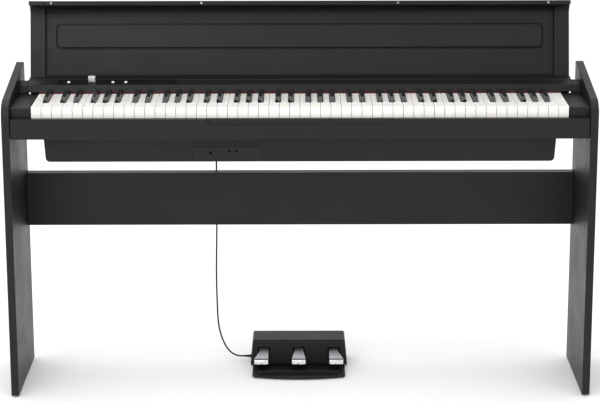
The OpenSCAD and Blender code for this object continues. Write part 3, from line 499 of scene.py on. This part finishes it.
def round_edges(piece, radius):
    """Rounds the sharp edges of a mesh; the CAD's faces are joined up first."""
    weld = piece.modifiers.new("weld", "WELD")
    weld.merge_threshold = SAME_POINT
    bevel = piece.modifiers.new("bevel", "BEVEL")
    bevel.width = radius
    bevel.segments = 2
    bevel.limit_method = "ANGLE"
    bevel.angle_limit = SHARP_ANGLE
    bevel.use_clamp_overlap = False
    bevel.harden_normals = True
    bevel.miter_outer = "MITER_ARC"


def dress_cad_nodes(materials):
    """Gives each CAD node its slot's material and rounded edges."""
    for name, node in nodes.items():
        slot = node.material_slots[0].material.name.split(".")[0]
        node.material_slots[0].material = materials[slot]
        radius = EDGES.get(name, EDGE)
        if name.startswith("keys_"):
            radius = BLACK_EDGE if name.endswith("sharp") else WHITE_EDGE
        round_edges(node, radius)


# ---- New pieces ----


def add_mesh(name, groups, slot, materials):
    """One still mesh of closed solids; each solid is a list of rings with as many points each."""
    points = []
    faces = []
    for rings in groups:
        start = len(points)
        count = len(rings[0])
        points += [tuple(p) for ring in rings for p in ring]
        for k in range(len(rings) - 1):
            low, high = start + k * count, start + (k + 1) * count
            faces += [
                (low + i, low + (i + 1) % count, high + (i + 1) % count, high + i)
                for i in range(count)
            ]
        faces.append(tuple(start + i for i in reversed(range(count))))
        end = start + (len(rings) - 1) * count
        faces.append(tuple(end + i for i in range(count)))
    data = bpy.data.meshes.new(name)
    data.from_pydata(points, [], faces)
    data.polygons.foreach_set("use_smooth", [True] * len(data.polygons))
    data.update()
    piece = bpy.data.objects.new(name, data)
    bpy.context.scene.collection.objects.link(piece)
    data.materials.append(materials[slot])
    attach(piece, "root")
    return piece


def rings_about(origin, axis, steps, sides):
    """Rings about an axis, from pairs of a distance along it and a radius at each angle."""
    turn = Vector((0, 0, 1)).rotation_difference(Vector(axis)).to_matrix()
    rings = []
    for along, reach in steps:
        ring = []
        for k in range(sides):
            angle = 2 * math.pi * k / sides
            offset = Vector((reach(angle) * math.cos(angle), reach(angle) * math.sin(angle), along))
            ring.append(Vector(origin) + turn @ offset)
        rings.append(ring)
    return rings


def disc(radius):
    """The same radius at every angle."""
    return lambda angle: radius


TURNED_SIDES = 32


def turned(origin, axis, outline):
    """Rings of a solid turned about an axis, from (distance along it, radius) points."""
    return rings_about(origin, axis, [(along, disc(radius)) for along, radius in outline], TURNED_SIDES)


SCREW_SIDES = 48
# The recess's arms, as shares of the head's radius
ARM_LENGTH = 0.58
ARM_HALF_WIDTH = 0.13
# Stands in for the sine of an angle of nothing, which would divide by zero
TINY_SINE = 1e-6


def screw(origin, axis, radius, height):
    """Rings of a domed screw head with a cross recess."""
    arm, half = radius * ARM_LENGTH, radius * ARM_HALF_WIDTH

    def cross(angle):
        """Distance from the middle to the edge of a cross, at that angle."""
        quarter = abs((angle + math.pi / 4) % (math.pi / 2) - math.pi / 4)
        arm_end = arm / math.cos(quarter)
        arm_side = half / max(math.sin(quarter), TINY_SINE)
        return min(arm_end, arm_side)

    dome = [(0, 1), (0.35, 1), (0.7, 0.93), (0.92, 0.78), (1, 0.62)]
    steps = [(height * up, disc(radius * share)) for up, share in dome]
    steps += [(height, cross), (height * 0.3, lambda angle: cross(angle) * 0.8)]
    return rings_about(origin, axis, steps, SCREW_SIDES)


# ---- Cord ----

CORD_D = 0.004
# Radius of the thin end of a strain relief, which grips the cord
RELIEF_THIN = CORD_D / 2 + 0.0006
# From the plug's relief to the gland: X, distance behind the side panels' front, Z
CORD_ROUTE = [
    (-0.202, 0.258, 0.575), (-0.202, 0.264, 0.575), (-0.202, 0.273, 0.572), (-0.202, 0.280, 0.565),
    (-0.202, 0.284, 0.553), (-0.203, 0.285, 0.525), (-0.203, 0.285, 0.480), (-0.203, 0.285, 0.430),
    (-0.204, 0.285, 0.380), (-0.204, 0.285, 0.330), (-0.205, 0.285, 0.280), (-0.206, 0.285, 0.230),
    (-0.206, 0.285, 0.180), (-0.205, 0.285, 0.140), (-0.204, 0.284, 0.107), (-0.201, 0.281, 0.079),
    (-0.195, 0.277, 0.056), (-0.186, 0.271, 0.036), (-0.176, 0.266, 0.023), (-0.167, 0.262, 0.0165),
    (-0.158, 0.258, 0.0135), (-0.149, 0.255, 0.0125), (-0.141, 0.2534, 0.0128), (-0.139, 0.253, 0.013),
]
CORD_STEPS = 8


def smooth_line(points, steps):
    """Points along the smooth curve through a route's points."""
    line = []
    last = len(points) - 1
    for i in range(last):
        p0, p1 = points[max(i - 1, 0)], points[i]
        p2, p3 = points[i + 1], points[min(i + 2, last)]
        for k in range(steps):
            t = k / steps
            line.append(0.5 * (
                2 * p1 + (p2 - p0) * t + (2 * p0 - 5 * p1 + 4 * p2 - p3) * t ** 2
                + (3 * p1 - p0 - 3 * p2 + p3) * t ** 3
            ))
    return line + [points[last]]


def add_cord(materials):
    route = [Vector((x, y + FRONT_Y, z)) for x, y, z in CORD_ROUTE]
    line = smooth_line(route, CORD_STEPS)
    data = bpy.data.curves.new("pedal_lead", "CURVE")
    data.dimensions = "3D"
    data.bevel_depth = CORD_D / 2
    data.bevel_resolution = 4
    data.use_fill_caps = True
    spline = data.splines.new("POLY")
    spline.points.add(len(line) - 1)
    for point, place in zip(spline.points, line):
        point.co = (*place, 1)
    spline.use_smooth = True
    data.materials.append(materials["cord"])
    piece = bpy.data.objects.new("pedal_lead", data)
    bpy.context.scene.collection.objects.link(piece)
    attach(piece, "root")
    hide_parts("pedal_cord")
    plug = add_plug(route[0], materials)
    gland = add_gland(route[-1], materials)


# Depth of the grooves between a strain relief's ribs
RELIEF_GROOVE = 0.0006


def relief(start, end, thick, thin, ribs):
    """Outline of a ribbed strain relief that tapers from start to end along its axis."""
    outline = []
    step = (end - start) / ribs
    for k in range(ribs):
        a = start + (end - start) * k / ribs
        radius = thick + (thin - thick) * k / ribs
        outline += [
            (a, radius), (a + step * 0.55, radius), (a + step * 0.62, radius - RELIEF_GROOVE),
            (a + step * 0.93, radius - RELIEF_GROOVE),
        ]
    return outline + [(end, thin)]


# The plug's grip, in distances from the face of the socket panel
GRIP_IN_FACE = 0.0005
GRIP_END = 0.0175
GRIP_CHAMFER = 0.0008
FINGER_GROOVES = 5
FINGER_GROOVE_START = 0.003
FINGER_GROOVE_STEP = 0.0022
FINGER_GROOVE_DEPTH = 0.0005


def add_plug(tip, materials):
    """Plug in the pedal socket, with a grip and a ribbed relief down to the cord."""
    low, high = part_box("cord_plug")
    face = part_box("sockets")[1].y
    grip = (high.x - low.x) / 2
    groove = grip - FINGER_GROOVE_DEPTH
    outline = [(face - GRIP_IN_FACE, grip - GRIP_CHAMFER), (face + GRIP_CHAMFER, grip)]
    for k in range(FINGER_GROOVES):
        a = face + FINGER_GROOVE_START + k * FINGER_GROOVE_STEP
        outline += [(a, grip), (a + 0.0004, groove), (a + 0.0012, groove), (a + 0.0016, grip)]
    outline += [(face + GRIP_END - 0.002, grip), (face + GRIP_END, grip - 0.0012)]
    outline += relief(face + GRIP_END + 0.0005, tip.y, grip - 0.0014, RELIEF_THIN, 7)
    piece = add_mesh("pedal_lead_plug", [turned((tip.x, 0, tip.z), (0, 1, 0), outline)], "rubber", materials)
    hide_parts("cord_plug")
    return piece


# How far the gland goes in from the wall's face, and the collar that sits on that face
GLAND_DEPTH = 0.0045
COLLAR_THICK = 0.002
COLLAR_CHAMFER = 0.0004


def add_gland(tip, materials):
    """Gland in the side of the pedal unit, with a short ribbed relief."""
    low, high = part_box("cord_relief")
    collar = (high.z - low.z) / 2
    neck = collar - 0.001
    wall = high.x - GLAND_DEPTH - tip.x
    start = wall - COLLAR_THICK
    outline = relief(0, start, RELIEF_THIN, collar - 0.0014, 5)
    outline += [
        (start, collar - COLLAR_CHAMFER), (start + COLLAR_CHAMFER, collar),
        (wall - 2 * COLLAR_CHAMFER, collar), (wall - COLLAR_CHAMFER, collar - COLLAR_CHAMFER),
        (wall - COLLAR_CHAMFER, neck), (high.x - tip.x, neck),
    ]
    piece = add_mesh("pedal_lead_gland", [turned(tuple(tip), (1, 0, 0), outline)], "rubber", materials)
    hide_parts("cord_relief")
    return piece


# ---- Fasteners that the CAD leaves out ----


def spread(low, high, margin, count):
    """Evenly spaced places from low to high, the margin left free at both ends."""
    return [low + margin + (high - low - 2 * margin) * k / (count - 1) for k in range(count)]


def add_rear_screws(materials):
    """A row of screws along the rear cover's lower edge and one along its upper edge."""
    low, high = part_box("rear_cover")
    rows = (low.z + 0.012, high.z - 0.02)
    columns = spread(low.x, high.x, margin=0.03, count=8)
    heads = [screw((x, high.y, z), (0, 1, 0), radius=0.0035, height=0.0016) for z in rows for x in columns]
    add_mesh("rear_cover_screws", heads, "steel", materials)


def add_case_screws(materials):
    """Screws under the lower case, near its front and rear edges."""
    low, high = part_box("lower_case")
    rows = (low.y + 0.014, high.y - 0.014)
    columns = spread(low.x, high.x, margin=0.05, count=7)
    heads = [screw((x, y, low.z), (0, 0, -1), radius=0.0032, height=0.0014) for y in rows for x in columns]
    add_mesh("case_screws", heads, "steel", materials)


# ---- Studio ----


FLOOR_HALF = 16.0


def add_floor():
    """Plain pale floor, far larger than what the camera sees."""
    s = Shader("floor")
    cloud = s.noise(0.8, 4, 0.5)
    s.set(Base_Color=s.mix(s.fade(cloud, 0.3, 0.7), srgb(250, 250, 249), srgb(252, 252, 251)),
          Roughness=0.7, Specular_IOR_Level=0.2)
    corners = [(x * FLOOR_HALF, y * FLOOR_HALF, 0) for x, y in ((-1, -1), (1, -1), (1, 1), (-1, 1))]
    data = bpy.data.meshes.new("floor")
    data.from_pydata(corners, [], [(0, 1, 2, 3)])
    data.materials.append(s.material)
    floor = bpy.data.objects.new("floor", data)
    bpy.context.scene.collection.objects.link(floor)


def add_area_light(name, place, aim, size, power):
    """Rectangular light of that width, depth and power in watts, pointing at aim."""
    data = bpy.data.lights.new(name, "AREA")
    data.shape = "RECTANGLE"
    data.size, data.size_y = size
    data.energy = power
    light = bpy.data.objects.new(name, data)
    bpy.context.scene.collection.objects.link(light)
    light.location = place
    light.rotation_euler = (Vector(aim) - Vector(place)).to_track_quat("-Z", "Y").to_euler()


def add_studio():
    """White surroundings, with one soft light above and one in front on the left."""
    world = bpy.data.worlds.new("studio")
    world.use_nodes = True
    background = world.node_tree.nodes["Background"]
    background.inputs["Color"].default_value = (1, 1, 1, 1)
    background.inputs["Strength"].default_value = 1.05
    bpy.context.scene.world = world
    bpy.context.scene.view_settings.view_transform = "Standard"
    add_area_light("overhead", place=(-0.4, -0.3, 3.2), aim=(0, 0, 0.4), size=(3.6, 2.4), power=45)
    add_area_light("front", place=(-1.8, -4.2, 2.2), aim=(0, 0, 0.5), size=(2.4, 1.6), power=36)


add_camera()
materials = {slot: make() for slot, make in MATERIALS.items()}
dress_cad_nodes(materials)
add_cord(materials)
add_rear_screws(materials)
add_case_screws(materials)
add_floor()
add_studio()
